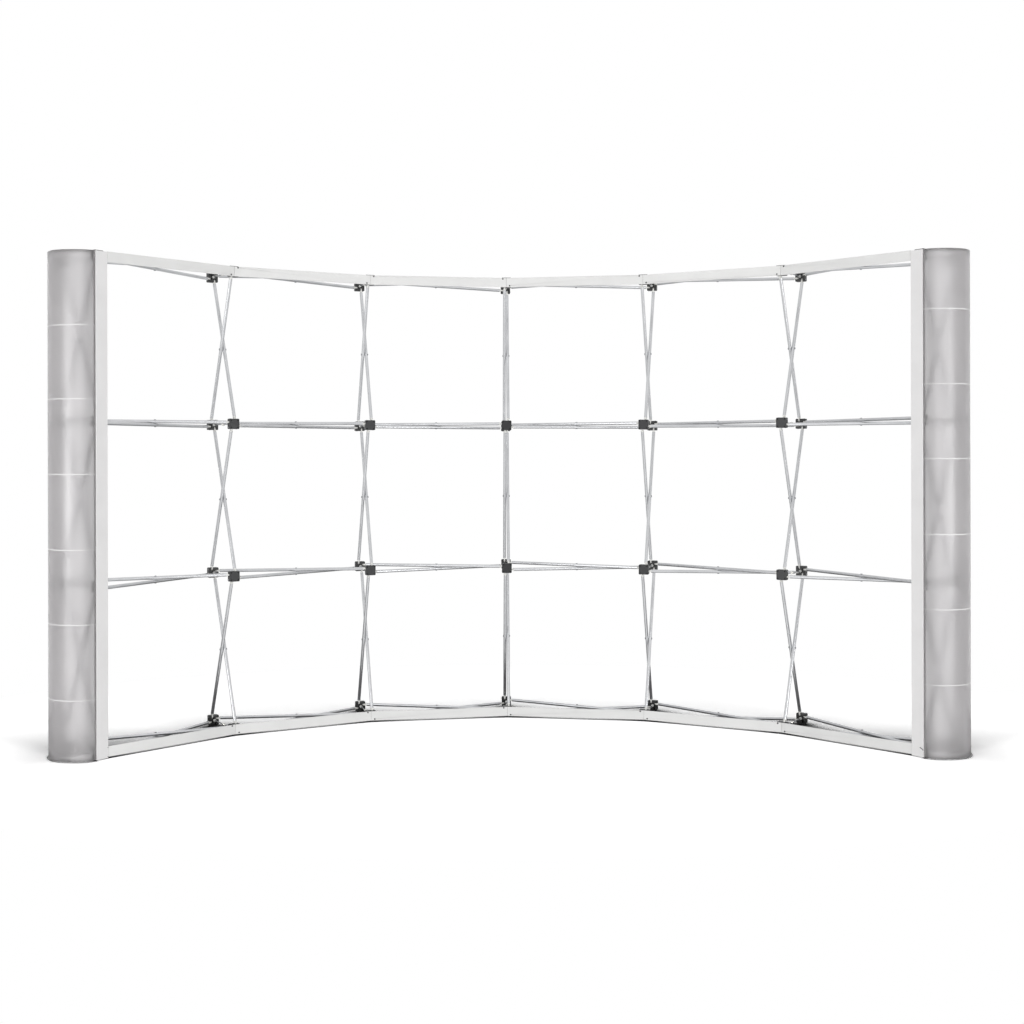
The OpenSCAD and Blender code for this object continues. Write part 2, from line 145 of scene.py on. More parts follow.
def glassFilledNylon(name, colour, worn):
    # Moulded black PA6 with glass fibre, spark-eroded mould: a dull sheen broken by a fine grain,
    # a little greyer in places where it has been handled.
    spec = {"grain": 1.1, "patch": 24.0, "gloss": (0.40, 0.56)}
    material, tree, shader, place = newMaterial(name, IOR=1.53)
    grain = addNode(tree, "ShaderNodeTexNoise",
                    {"Scale": repeatsPerMetre(spec["grain"]), "Detail": 3.0, "Roughness": 0.6},
                    {"Vector": place})
    patch = addNode(tree, "ShaderNodeTexNoise",
                    {"Scale": repeatsPerMetre(spec["patch"]), "Detail": 2.0}, {"Vector": place})
    ramp = addNode(tree, "ShaderNodeValToRGB", links={"Fac": patch.outputs["Fac"]})
    ramp.color_ramp.elements[0].position = 0.35
    ramp.color_ramp.elements[0].color = toLinear(colour)
    ramp.color_ramp.elements[1].position = 0.75
    ramp.color_ramp.elements[1].color = toLinear(worn)
    tree.links.new(ramp.outputs["Color"], shader.inputs["Base Color"])
    gloss = addNode(tree, "ShaderNodeMapRange",
                    {"To Min": spec["gloss"][0], "To Max": spec["gloss"][1]},
                    {"Value": grain.outputs["Fac"]})
    tree.links.new(gloss.outputs["Result"], shader.inputs["Roughness"])
    # the mould grain is near 0.1 mm; drawn coarser so that it shows close up
    bump = addNode(tree, "ShaderNodeBump", {"Strength": 0.25, "Distance": 0.15 * mm},
                   {"Height": grain.outputs["Fac"]})
    tree.links.new(bump.outputs["Normal"], shader.inputs["Normal"])
    return material


def acetalWhite(name="mouldedAcetal", colour="#e9e9e6"):
    # Moulded white acetal: a waxy pale plastic, slightly glossy, with faint flow marks.
    material, tree, shader, place = newMaterial(name, Roughness=0.36, IOR=1.48)
    flow = addNode(tree, "ShaderNodeTexNoise", {"Scale": repeatsPerMetre(9.0), "Detail": 2.0,
                                                "Distortion": 0.6}, {"Vector": place})
    ramp = addNode(tree, "ShaderNodeValToRGB", links={"Fac": flow.outputs["Fac"]})
    ramp.color_ramp.elements[0].position = 0.3
    ramp.color_ramp.elements[0].color = toLinear("#dededa")
    ramp.color_ramp.elements[1].position = 0.7
    ramp.color_ramp.elements[1].color = toLinear(colour)
    tree.links.new(ramp.outputs["Color"], shader.inputs["Base Color"])
    bump = addNode(tree, "ShaderNodeBump", {"Strength": 0.12, "Distance": 0.1 * mm},
                   {"Height": flow.outputs["Fac"]})
    tree.links.new(bump.outputs["Normal"], shader.inputs["Normal"])
    return material


def anodisedAluminium():
    # Drawn aluminium tube with a satin natural anodised skin: a soft grey metal whose sheen is
    # spread by the matt etch under the anodising, with slightly duller and brighter patches.
    spec = {"colour": "#c9cacc", "dull": "#bdbec0", "grain": 3.0, "patch": 90.0,
            "gloss": (0.31, 0.36)}
    material, tree, shader, place = newMaterial("satinAnodisedAluminium", Metallic=1.0)
    grain = addNode(tree, "ShaderNodeTexNoise",
                    {"Scale": repeatsPerMetre(spec["grain"]), "Detail": 4.0}, {"Vector": place})
    patch = addNode(tree, "ShaderNodeTexNoise",
                    {"Scale": repeatsPerMetre(spec["patch"]), "Detail": 3.0}, {"Vector": place})
    ramp = addNode(tree, "ShaderNodeValToRGB", links={"Fac": patch.outputs["Fac"]})
    ramp.color_ramp.elements[0].position = 0.3
    ramp.color_ramp.elements[0].color = toLinear(spec["dull"])
    ramp.color_ramp.elements[1].position = 0.7
    ramp.color_ramp.elements[1].color = toLinear(spec["colour"])
    tree.links.new(ramp.outputs["Color"], shader.inputs["Base Color"])
    # the etch is under 0.05 mm; drawn at 3 mm so that it still breaks up the sheen
    gloss = addNode(tree, "ShaderNodeMapRange",
                    {"To Min": spec["gloss"][0], "To Max": spec["gloss"][1]},
                    {"Value": grain.outputs["Fac"]})
    tree.links.new(gloss.outputs["Result"], shader.inputs["Roughness"])
    return material


def zincPlatedSteel():
    # Cold-headed steel, bright zinc plated: a greyer, bluish metal with tiny tool marks.
    material, tree, shader, place = newMaterial("zincPlatedSteel", Metallic=1.0, Roughness=0.35)
    mark = addNode(tree, "ShaderNodeTexNoise", {"Scale": repeatsPerMetre(2.2), "Detail": 3.0},
                   {"Vector": place})
    ramp = addNode(tree, "ShaderNodeValToRGB", links={"Fac": mark.outputs["Fac"]})
    ramp.color_ramp.elements[0].color = toLinear("#85878b")
    ramp.color_ramp.elements[1].color = toLinear("#a9abae")
    tree.links.new(ramp.outputs["Color"], shader.inputs["Base Color"])
    bump = addNode(tree, "ShaderNodeBump", {"Strength": 0.15, "Distance": 0.05 * mm},
                   {"Height": mark.outputs["Fac"]})
    tree.links.new(bump.outputs["Normal"], shader.inputs["Normal"])
    return material


def nickelPlatedSteel():
    # Turned steel, nickel plated: a clean bright metal, its gloss smeared in places by handling.
    material, tree, shader, place = newMaterial("nickelPlatedSteel", Metallic=1.0)
    smear = addNode(tree, "ShaderNodeTexNoise", {"Scale": repeatsPerMetre(5.0), "Detail": 2.0},
                    {"Vector": place})
    ramp = addNode(tree, "ShaderNodeValToRGB", links={"Fac": smear.outputs["Fac"]})
    ramp.color_ramp.elements[0].color = toLinear("#c9c8c4")
    ramp.color_ramp.elements[1].color = toLinear("#dddcd8")
    tree.links.new(ramp.outputs["Color"], shader.inputs["Base Color"])
    gloss = addNode(tree, "ShaderNodeMapRange", {"To Min": 0.18, "To Max": 0.32},
                    {"Value": smear.outputs["Fac"]})
    tree.links.new(gloss.outputs["Result"], shader.inputs["Roughness"])
    return material


def powderCoat(name, colour, shade, roughness):
    # Aluminium with a satin polyester powder coat: an even pale skin with the faint
    # orange peel that the baked powder leaves.
    material, tree, shader, place = newMaterial(name, Roughness=roughness, IOR=1.5)
    peel = addNode(tree, "ShaderNodeTexNoise", {"Scale": repeatsPerMetre(2.4), "Detail": 1.0},
                   {"Vector": place})
    cloud = addNode(tree, "ShaderNodeTexNoise", {"Scale": repeatsPerMetre(130.0), "Detail": 2.0},
                    {"Vector": place})
    ramp = addNode(tree, "ShaderNodeValToRGB", links={"Fac": cloud.outputs["Fac"]})
    ramp.color_ramp.elements[0].position = 0.3
    ramp.color_ramp.elements[0].color = toLinear(shade)
    ramp.color_ramp.elements[1].position = 0.7
    ramp.color_ramp.elements[1].color = toLinear(colour)
    tree.links.new(ramp.outputs["Color"], shader.inputs["Base Color"])
    bump = addNode(tree, "ShaderNodeBump", {"Strength": 0.10, "Distance": 0.08 * mm},
                   {"Height": peel.outputs["Fac"]})
    tree.links.new(bump.outputs["Normal"], shader.inputs["Normal"])
    return material


def stripVinyl():
    # Calendered magnetic strip faced with white vinyl: flat, pale and finely toothed.
    material, tree, shader, place = newMaterial("vinylFacedMagnetStrip", Roughness=0.6, IOR=1.5)
    tooth = addNode(tree, "ShaderNodeTexNoise", {"Scale": repeatsPerMetre(1.5), "Detail": 3.0},
                    {"Vector": place})
    ramp = addNode(tree, "ShaderNodeValToRGB", links={"Fac": tooth.outputs["Fac"]})
    ramp.color_ramp.elements[0].color = toLinear("#c6c5c5")
    ramp.color_ramp.elements[1].color = toLinear("#d3d2d2")
    tree.links.new(ramp.outputs["Color"], shader.inputs["Base Color"])
    bump = addNode(tree, "ShaderNodeBump", {"Strength": 0.2, "Distance": 0.1 * mm},
                   {"Height": tooth.outputs["Fac"]})
    tree.links.new(bump.outputs["Normal"], shader.inputs["Normal"])
    return material


def blackRubber():
    # Moulded black rubber: quite matt, greyed in patches with floor dust, with a pebbled skin.
    material, tree, shader, place = newMaterial("mouldedBlackRubber", Roughness=0.82, IOR=1.5)
    pebble = addNode(tree, "ShaderNodeTexVoronoi", {"Scale": repeatsPerMetre(1.6)},
                     {"Vector": place})
    dust = addNode(tree, "ShaderNodeTexNoise", {"Scale": repeatsPerMetre(14.0), "Detail": 4.0},
                   {"Vector": place})
    ramp = addNode(tree, "ShaderNodeValToRGB", links={"Fac": dust.outputs["Fac"]})
    ramp.color_ramp.elements[0].position = 0.4
    ramp.color_ramp.elements[0].color = toLinear("#232325")
    ramp.color_ramp.elements[1].position = 0.8
    ramp.color_ramp.elements[1].color = toLinear("#3a3a3a")
    tree.links.new(ramp.outputs["Color"], shader.inputs["Base Color"])
    bump = addNode(tree, "ShaderNodeBump", {"Strength": 0.3, "Distance": 0.2 * mm},
                   {"Height": pebble.outputs["Distance"]})
    tree.links.new(bump.outputs["Normal"], shader.inputs["Normal"])
    return material


# Both ranges run outwards from the line of the end hubs
sheetFrost = {
    # painted shade: up to the first of these the sheet's colour is scaled down to the share below
    "paintedShadeSpan": (45 * mm, 88 * mm),   # the sheet is duller up to the first of these
    "dull": 0.74,                    # share of its colour that it keeps there
    "haze": (66 * mm, 116 * mm),     # and its frost changes between these
}


def frostedSheet(name, colour, shade, transmission, roughness):
    # Extruded PETG sheet, 1 mm, frosted on both faces: milky grey, lets blurred shapes
    # through where they stand close behind, with a broad soft sheen. The frost is denser beside
    # the post than round the bend, so it has two values of roughness.
    spec = sheetFrost
    material, tree, shader, place = newMaterial(name, **{"Transmission Weight": transmission,
                                                         "Roughness": roughness[0], "IOR": 1.45})
    cloud = addNode(tree, "ShaderNodeTexNoise", {"Scale": repeatsPerMetre(220.0), "Detail": 2.0},
                    {"Vector": place})
    ramp = addNode(tree, "ShaderNodeValToRGB", links={"Fac": cloud.outputs["Fac"]})
    ramp.color_ramp.elements[0].position = 0.3
    ramp.color_ramp.elements[0].color = toLinear(shade)
    ramp.color_ramp.elements[1].position = 0.7
    ramp.color_ramp.elements[1].color = toLinear(colour)
    # how far outwards a place lies, at either end of the wall
    turn = math.radians(layout["bays"] / 2 * layout["bayAngle"])
    mirrored = addNode(tree, "ShaderNodeVectorMath", links={0: place}, operation="ABSOLUTE")
    shifted = addNode(tree, "ShaderNodeVectorMath", {1: (0.0, layout["middleY"], 0.0)},
                      {0: place}, operation="ADD")
    across = addNode(tree, "ShaderNodeVectorMath", {1: (math.cos(turn), 0.0, 0.0)},
                     {0: mirrored.outputs["Vector"]}, operation="DOT_PRODUCT")
    back = addNode(tree, "ShaderNodeVectorMath", {1: (0.0, math.sin(turn), 0.0)},
                   {0: shifted.outputs["Vector"]}, operation="DOT_PRODUCT")
    outwards = addNode(tree, "ShaderNodeMath",
                       links={0: across.outputs["Value"], 1: back.outputs["Value"]},
                       operation="SUBTRACT")
    # darker beside the post: painted shade, the sheet's colour scaled down there
    paintedShadeNearPost = addNode(tree, "ShaderNodeMapRange",
                     {"From Min": spec["paintedShadeSpan"][0], "From Max": spec["paintedShadeSpan"][1],
                      "To Min": spec["dull"]},
                     {"Value": outwards.outputs[0]}, interpolation_type="SMOOTHSTEP")
    tone = addNode(tree, "ShaderNodeVectorMath",
                   links={0: ramp.outputs["Color"], "Scale": paintedShadeNearPost.outputs["Result"]},
                   operation="SCALE")
    tree.links.new(tone.outputs["Vector"], shader.inputs["Base Color"])
    if roughness[0] != roughness[1]:
        haze = addNode(tree, "ShaderNodeMapRange",
                       {"From Min": spec["haze"][0], "From Max": spec["haze"][1],
                        "To Min": roughness[0], "To Max": roughness[1]},
                       {"Value": outwards.outputs[0]})
        tree.links.new(haze.outputs["Result"], shader.inputs["Roughness"])
    frost = addNode(tree, "ShaderNodeTexNoise", {"Scale": repeatsPerMetre(1.8), "Detail": 2.0},
                    {"Vector": place})
    bump = addNode(tree, "ShaderNodeBump", {"Strength": 0.08, "Distance": 0.05 * mm},
                   {"Height": frost.outputs["Fac"]})
    tree.links.new(bump.outputs["Normal"], shader.inputs["Normal"])
    return material


nylon = glassFilledNylon("mouldedGlassFilledNylon", "#101113", "#18191b")
# the rear hubs wear a darker copy of the same nylon, as painted shade
shadedRearNylon = glassFilledNylon("nylonRearHubsPaintedShade", "#0b0c0d", "#141516")
acetal = acetalWhite()
collarPlastic = acetalWhite("mouldedAcetalCollar", "#cfd0cf")
tubeMetal = anodisedAluminium()
zincSteel = zincPlatedSteel()
nickelSteel = nickelPlatedSteel()
barCoat = powderCoat("satinPowderCoatBars", "#e2e2e1", "#dddddc", 0.42)
postCoat = powderCoat("satinPowderCoatPosts", "#eae9e9", "#e5e4e4", 0.40)
magnetStrip = stripVinyl()
footRubber = blackRubber()
petg = frostedSheet("frostedPetgSheet", "#e0dedf", "#dad8d9", 0.77, (0.44, 0.34))
petgCrease = frostedSheet("creasedPetgSheet", "#f9f8f8", "#eeeded", 0.22, (0.50, 0.50))
print("materials made")

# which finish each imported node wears, by a word in its name
finishes = [
    ("rear_hubs", shadedRearNylon),   # a darker copy of the same nylon: painted shade on the rear hubs
    ("hubs", nylon),
    ("hub_feet", footRubber),
    ("tubes", tubeMetal),
    ("tips", acetal),
    ("rivets", zincSteel),
    ("magnets", nickelSteel),
    ("arms", zincSteel),
    ("pegs", nylon),
    ("bar_", barCoat),
    ("post", postCoat),
    ("strips", magnetStrip),
    ("panel", petg),
]
for name, obj in nodes.items():
    finish = next(material for word, material in finishes if word in name)
    if not obj.material_slots:
        obj.data.materials.append(finish)
    for slot in obj.material_slots:
        slot.material = finish
print("frame dressed")

# Edges that are broken or pressed on the real pieces and catch the light: a word in the
# node's name, the width and the steps
softEdges = [
    ("hubs", 0.4 * mm, 2),
    ("hub_feet", 0.6 * mm, 2),
    ("bar_", 0.4 * mm, 2),
    ("post", 0.5 * mm, 2),
]
sharpFrom = math.radians(35)   # edges bent by more than this are sharp ones


def softenEdges(obj, width, steps):
    weld = obj.modifiers.new("joinFaces", "WELD")
    weld.merge_threshold = 0.01 * mm
    bevel = obj.modifiers.new("brokenEdges", "BEVEL")
    bevel.width = width
    bevel.segments = steps
    bevel.limit_method = "ANGLE"
    bevel.angle_limit = sharpFrom
    bevel.use_clamp_overlap = True
    bevel.harden_normals = False


for name, obj in nodes.items():
    for word, width, steps in softEdges:
        if word in name:
            softenEdges(obj, width, steps)
            break
print("edges softened")


def addPiece(name, body, mesh, materials):
    obj = bpy.data.objects.new(name, mesh)
    bpy.context.scene.collection.objects.link(obj)
    for material in materials:
        mesh.materials.append(material)
    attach(obj, body)
    return obj


def lathe(mesh, matrix, profile, around, index=0):
    # a turned shape about the matrix's +Y, from its profile of (radius, distance along)
    rings = []
    for radius, along in profile:
        if radius == 0:
            rings.append([mesh.verts.new(matrix @ Vector((0, along, 0)))])
            continue
        ring = []
        for i in range(around):
            turn = 2 * math.pi * i / around
            point = Vector((radius * math.cos(turn), along, radius * math.sin(turn)))
            ring.append(mesh.verts.new(matrix @ point))
        rings.append(ring)
    for low, high in zip(rings, rings[1:]):
        for i in range(around):
            j = (i + 1) % around
            if len(low) == 1:
                corners = (low[0], high[i], high[j])
            elif len(high) == 1:
                corners = (low[i], high[0], low[j])
            else:
                corners = (low[i], high[i], high[j], low[j])
            face = mesh.faces.new(corners)
            face.material_index = index
            face.smooth = True


def finishMesh(name, mesh):
    # faces outwards, sharp edges kept crisp
    bmesh.ops.recalc_face_normals(mesh, faces=mesh.faces[:])
    for edge in mesh.edges:
        if edge.is_manifold and edge.calc_face_angle(0) > sharpFrom:
            edge.smooth = False
    data = bpy.data.meshes.new(name)
    mesh.to_mesh(data)
    mesh.free()
    return data


# Locking arms: a moulded collar on the hub, a thin rod and, at the middle, the magnet's barrel.
# The profiles are in mm, the collar's from the hub and the other two from where the arms meet.
lockingArm = {
    "gap": layout["wallDepth"] - 2 * layout["hubDepth"],   # between the open sides of a hub pair
    "collar": [(0, -9.5), (2.9, -9.5), (2.9, 0), (6.0, 0), (6.0, 7.5), (5.3, 8.2), (5.3, 9.4),
               (5.9, 10.0), (5.9, 12.6), (5.2, 14.0), (3.0, 14.4)],
    "rodRadius": 3.0,
    "barrel": [(3.0, -22.0), (4.4, -20.5), (4.4, -14.0), (5.9, -14.0), (6.5, -13.4), (6.5, -9.4),
               (6.1, -9.0), (6.1, -8.2), (6.5, -7.8), (6.5, -0.6), (5.9, 0), (0, 0)],
    "keeper": [(3.0, -12.0), (4.2, -10.5), (4.2, -4.0), (5.9, -4.0), (6.5, -3.5), (6.5, -0.5),
               (5.9, 0), (0, 0)],
    "around": 20,
}


def scaled(profile, shift=0.0):
    return [(radius * mm, along * mm + shift) for radius, along in profile]


def buildLockingArms(settings):
    meet = settings["gap"] / 2
    around = settings["around"]
    barrel = scaled(settings["barrel"], meet)
    keeper = scaled(settings["keeper"], meet)
    collar = scaled(settings["collar"])
    rodRadius = settings["rodRadius"] * mm
    rodStart = collar[-1][1]
    frontFace = layout["frontR"] + layout["hubDepth"]
    rearFace = layout["frontR"] + layout["wallDepth"] - layout["hubDepth"]
    front, rear, magnets = bmesh.new(), bmesh.new(), bmesh.new()
    for column in range(layout["bays"] + 1):
        for row in range(layout["cells"] + 1):
            frontPlace = columnMatrix(column, frontFace, rowHeight(row))
            rearPlace = (columnMatrix(column, rearFace, rowHeight(row))
                         @ Matrix.Rotation(math.pi, 4, "Z"))
            for mesh, place, tip in ((front, frontPlace, barrel), (rear, rearPlace, keeper)):
                rodEnd = tip[0][1]
                lathe(mesh, place, collar, around, 1)
                lathe(mesh, place, [(rodRadius, rodStart), (rodRadius, rodEnd)], around)
            lathe(magnets, frontPlace, barrel, around)
            lathe(rear, rearPlace, keeper, around, 2)
    frontMaterials = [zincSteel, collarPlastic]
    rearMaterials = [zincSteel, collarPlastic, nickelSteel]
    pieces = (("frontLockingArms", "front_arms", "arm_metal", front, frontMaterials),
              ("rearLockingArms", "rear_arms", "arm_metal", rear, rearMaterials),
              ("magnetBarrels", "arm_magnets", "magnet_nickel", magnets, [nickelSteel]))
    for name, node, slotName, mesh, materials in pieces:
        obj = addPiece(name, "frame", finishMesh(name, mesh), materials)
        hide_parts(node)


buildLockingArms(lockingArm)
print("locking arms built")

# Pins that the tube ends turn on: their domed heads close the holes in the hubs' sides
pivotPin = {
    "reach": layout["hubWidth"] / 2,   # from the hub's centre line to its side
    "profile": [(0, -7.6), (2.3, -7.6), (2.5, -7.3), (2.5, 0), (3.7, 0), (3.7, 0.5), (3.2, 1.0),
                (1.6, 1.25), (1.2, 0.9), (0, 0.8)],   # mm
    "around": 14,
}


def buildPivotPins(settings):
    mesh = bmesh.new()
    bays, cells = layout["bays"], layout["cells"]
    side = (Matrix.Translation((settings["reach"], layout["pivotIn"], layout["pivotOut"]))
            @ Matrix.Rotation(math.radians(-90), 4, "Z"))
    for column in range(bays + 1):
        for row in range(cells + 1):
            front = columnMatrix(column, layout["frontR"], rowHeight(row))
            rear = (columnMatrix(column, layout["frontR"] + layout["wallDepth"], rowHeight(row))
                    @ Matrix.Rotation(math.pi, 4, "Z"))
            right, left = column < bays, column > 0
            up, down = row < cells, row > 0
            for place, ways in ((front, (up, right, down, left)), (rear, (up, left, down, right))):
                for turn, used in enumerate(ways):
                    if not used:
                        continue
                    spot = place @ Matrix.Rotation(math.radians(90 * turn), 4, "Y") @ side
                    lathe(mesh, spot, scaled(settings["profile"]), settings["around"])
    heads = finishMesh("pivotPinHeads", mesh)
    addPiece("pivotPinHeads", "frame", heads, [zincSteel])


buildPivotPins(pivotPin)
print("pivot pins built")

# Small dark catches at the foot of the end posts: two tips on the left, a bent hook on the
# right. All in mm, and the places are (outwards, height).
postCatch = {
    "face": -9.3,             # the post's outer face from the hubs' faces
    "tips": [(-34.8, 50.6), (-34.8, 10.8)],
    "tipProfile": [(0, -0.6), (1.9, -0.6), (1.9, 0.7), (1.5, 1.1), (0, 1.2)],
    "tipAround": 16,
    "hook": [(5.0, 45.0), (7.5, 46.5), (11.0, 43.5), (15.0, 41.5), (19.5, 38.5), (22.5, 35.5)],
    "hookRadius": 1.5,
    "hookTip": 0.7,           # how thin its two ends are beside the rest
    "hookProud": 0.8,         # how far its middle line stands off the face, in radii
    "hookAround": 10,
}


def buildPostTips(settings, end):
    mirror = Matrix.Scale(-1, 4, (1, 0, 0))
    tips = bmesh.new()
    for out, height in settings["tips"]:
        place = Matrix.Translation((out * mm, settings["face"] * mm, height * mm))
        spot = mirror @ end @ place @ Matrix.Rotation(math.pi, 4, "Z")
        lathe(tips, spot, scaled(settings["tipProfile"]), settings["tipAround"])
    data = finishMesh("leftPostTips", tips)
    addPiece("leftPostTips", "left_post", data, [nylon])


def buildPostHook(settings, end):
    hook = bmesh.new()
    rings = []
    around = settings["hookAround"]
    depth = Vector((0, 1, 0))
    rear = (settings["face"] - settings["hookRadius"] * settings["hookProud"]) * mm
    points = [Vector((out * mm, rear, height * mm)) for out, height in settings["hook"]]
    last = len(points) - 1
    for i, point in enumerate(points):
        along = (points[min(i + 1, last)] - points[max(i - 1, 0)]).normalized()
        across = along.cross(depth)
        reach = settings["hookRadius"] * mm * (settings["hookTip"] if i in (0, last) else 1.0)
        ring = []
        for k in range(around):
            turn = 2 * math.pi * k / around
            offset = reach * (math.cos(turn) * depth + math.sin(turn) * across)
            ring.append(hook.verts.new(end @ (point + offset)))
        rings.append(ring)
    for low, high in zip(rings, rings[1:]):
        for k in range(around):
            j = (k + 1) % around
            face = hook.faces.new((low[k], low[j], high[j], high[k]))
            face.smooth = True
    hook.faces.new(rings[0][::-1])
    hook.faces.new(rings[-1])
    data = finishMesh("rightPostHook", hook)
    addPiece("rightPostHook", "right_post", data, [nylon])


endColumn = columnMatrix(layout["bays"], layout["frontR"], 0)
buildPostTips(postCatch, endColumn)
buildPostHook(postCatch, endColumn)
print("post catches built")

# Bent end sheets, with pale creases across them at heights in metres
endPanel = {
    "outFrom": 21.5 * mm,     # where the front edge starts, beside the post
    "bendFrom": 29 * mm,
    "bulge": 112 * mm,
    "fullness": 1.7,          # 2 would be a half ellipse, less is a slimmer nose
    "frontFace": -2.8 * mm,   # the sheet's outer faces, from the faces of the front hubs
    "rearFace": layout["wallDepth"] + 2.8 * mm,
    "rearEdge": -18 * mm,
    "thickness": 1 * mm,
    "low": 3.5 * mm,
    "high": 2253 * mm,
    "bendSteps": 72,
    "rowStep": 45 * mm,
    "creaseWidth": 4.0 * mm,
    "creaseEdge": 3 * mm,     # a narrow row of faces on either side of a crease
    "creaseClear": 12 * mm,   # and no other row nearer than this
    # a very slight waviness inwards, as a sheet held by its edges has: its depth, and its
    # radians for each metre up, for either side and for each step round the bend
    "wave": {"depth": 0.7 * mm, "up": 5.3, "side": 1.1, "step": 0.09},
    "leftCreases": (1.922, 1.597, 1.265, 0.932, 0.603, 0.271),
    "rightCreases": (1.987, 1.656, 1.326, 0.991, 0.660, 0.327),
}


def panelProfile(settings, inset):
    # the bent sheet seen from above: outwards and to the rear of the end hubs
    middle = (settings["frontFace"] + settings["rearFace"]) / 2
    half = (settings["rearFace"] - settings["frontFace"]) / 2
    steps = settings["bendSteps"]
    nudge = 0.01   # of a step, to find which way the sheet runs

    def bend(i):
        angle = math.radians(-90 + 180 * i / steps)
        power = 2 / settings["fullness"]
        side = math.copysign(abs(math.sin(angle)) ** power, math.sin(angle))
        reach = math.copysign(abs(math.cos(angle)) ** power, math.cos(angle))
        return Vector((settings["bendFrom"] + settings["bulge"] * reach, middle + half * side))

    points = [(settings["outFrom"], settings["frontFace"] + inset)]
    for i in range(steps + 1):
        along = (bend(i + nudge) - bend(i - nudge)).normalized()
        points.append(tuple(bend(i) + inset * Vector((-along.y, along.x))))
    points.append((settings["rearEdge"], settings["rearFace"] - inset))
    return points


def panelRows(settings, creases):
    # the heights at which the sheet's mesh has a row of corners
    rows = []
    z = settings["low"]
    while z < settings["high"]:
        rows.append(z)
        z += settings["rowStep"]
    rows = [z for z in rows if all(abs(z - c) > settings["creaseClear"] for c in creases)]
    half = settings["creaseWidth"] / 2
    edge = half + settings["creaseEdge"]
    for c in creases:
        rows += [c - edge, c - half, c + half, c + edge]
    return sorted(rows + [settings["high"]])


def panelGrid(mesh, rows, side, inset, settings):
    # the corners of one face of the sheet, row by row
    place = columnMatrix(layout["bays"], layout["frontR"], 0)
    profile = panelProfile(settings, inset)
    last = len(profile) - 1
    wave = settings["wave"]
    grid = []
    for z in rows:
        ring = []
        for k, (out, rear) in enumerate(profile):
            sunk = 0.0
            if 1 < k < last - 1:
                bow = math.sin(math.pi * (k - 1) / (last - 2))
                swell = math.sin(z * wave["up"] + side * wave["side"] + k * wave["step"])
                sunk = wave["depth"] * bow * (0.5 + 0.5 * swell)
            point = place @ Vector((out - sunk, rear, z))
            ring.append(mesh.verts.new((side * point.x, point.y, point.z)))
        grid.append(ring)
    return grid


def buildPanel(name, body, side, creases, settings):
    rows = panelRows(settings, creases)
    mesh = bmesh.new()
    outer = panelGrid(mesh, rows, side, 0.0, settings)
    inner = panelGrid(mesh, rows, side, settings["thickness"], settings)
    last = len(outer[0]) - 1
    top = len(rows) - 1

    def addFace(corners, index=0):
        face = mesh.faces.new(corners if side > 0 else corners[::-1])
        face.material_index = index
        face.smooth = True

    for j in range(top):
        middle = (rows[j] + rows[j + 1]) / 2
        creased = any(abs(middle - c) < settings["creaseWidth"] / 2 for c in creases)
        index = 1 if creased else 0
        for k in range(last):
            addFace((outer[j][k], outer[j][k + 1], outer[j + 1][k + 1], outer[j + 1][k]), index)
            addFace((inner[j][k], inner[j + 1][k], inner[j + 1][k + 1], inner[j][k + 1]), index)
        addFace((outer[j][0], outer[j + 1][0], inner[j + 1][0], inner[j][0]))
        addFace((outer[j][last], inner[j][last], inner[j + 1][last], outer[j + 1][last]))
    for k in range(last):
        addFace((outer[0][k], inner[0][k], inner[0][k + 1], outer[0][k + 1]))
        addFace((outer[top][k], outer[top][k + 1], inner[top][k + 1], inner[top][k]))
    data = bpy.data.meshes.new(name)
    mesh.to_mesh(data)
    mesh.free()
    obj = addPiece(name, body, data, [petg, petgCrease])
    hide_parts(body)


buildPanel("leftEndSheet", "left_panel", -1, endPanel["leftCreases"], endPanel)
buildPanel("rightEndSheet", "right_panel", 1, endPanel["rightCreases"], endPanel)
print("end panels built")

studio = {
    "floorSize": 60.0,
    "floorColour": 0.96,     # share of light that the paper gives back to the object
    "floorShown": 1.62,      # and shows to the camera, so that it is white where nothing shades it
    "depthScale": 1.6,       # the white starts sooner behind the wall than beside it
    "fade": (2.5, 3.2),      # distance from the middle over which it becomes plain white
    # the dark under the bars, which starts at their faces
    "gap": {"reach": 60 * mm, "power": 5.0, "starts": (-1.5 * mm, 1.0 * mm)},
    # the line under the posts and the end panels
    "contact": {"reach": 12 * mm, "power": 7.0},
    # the soft shade behind the bars, and outside the end panels
    "shade": {"reach": 750 * mm, "open": (0.93, 1.0), "level": 0.42},
    "besides": {"reach": 330 * mm, "open": (0.80, 0.995), "level": 0.82},
    "behind": (100 * mm, 240 * mm),   # how far behind the bars' faces that shade sets in
    "aside": (0.90, 0.96),            # and the angles, in radians, between which the two meet
    "beyond": 0.008,                  # radians past the end hubs' line that the gap's dark reaches
    "rays": 8,               # for each measure of how open the floor is
    "roomLevel": 0.61,       # even light from all round
    # the softboxes, with their sides in metres and their power in watts
    "left": {"place": (-5.4, -6.2, 1.15), "aim": (0, 0, 1.0), "size": (1.5, 2.1), "power": 184.0},
    "right": {"place": (5.4, -6.0, 1.15), "aim": (0, 0, 1.0), "size": (1.5, 2.1), "power": 156.0},
    "top": {"place": (0.0, -1.6, 5.2), "aim": (0, 0.2, 0), "size": (6.0, 3.0), "power": 14.0},
    # a grey sheet laid along the curve under the tubes, seen only in the metal as a painted
    # reflection:
    # its two radii, how many degrees it reaches to each side and how high it lies
    "reflectionCard": {"inner": 2.31, "outer": 3.6, "reach": 62, "lift": 0.004, "steps": 32,
              "colour": "#6a6a6b", "roughness": 0.9},
}


def addStageMesh(name, mesh):
    data = bpy.data.meshes.new(name)
    mesh.to_mesh(data)
    mesh.free()
    obj = bpy.data.objects.new(name, data)
    bpy.context.scene.collection.objects.link(obj)
    return obj


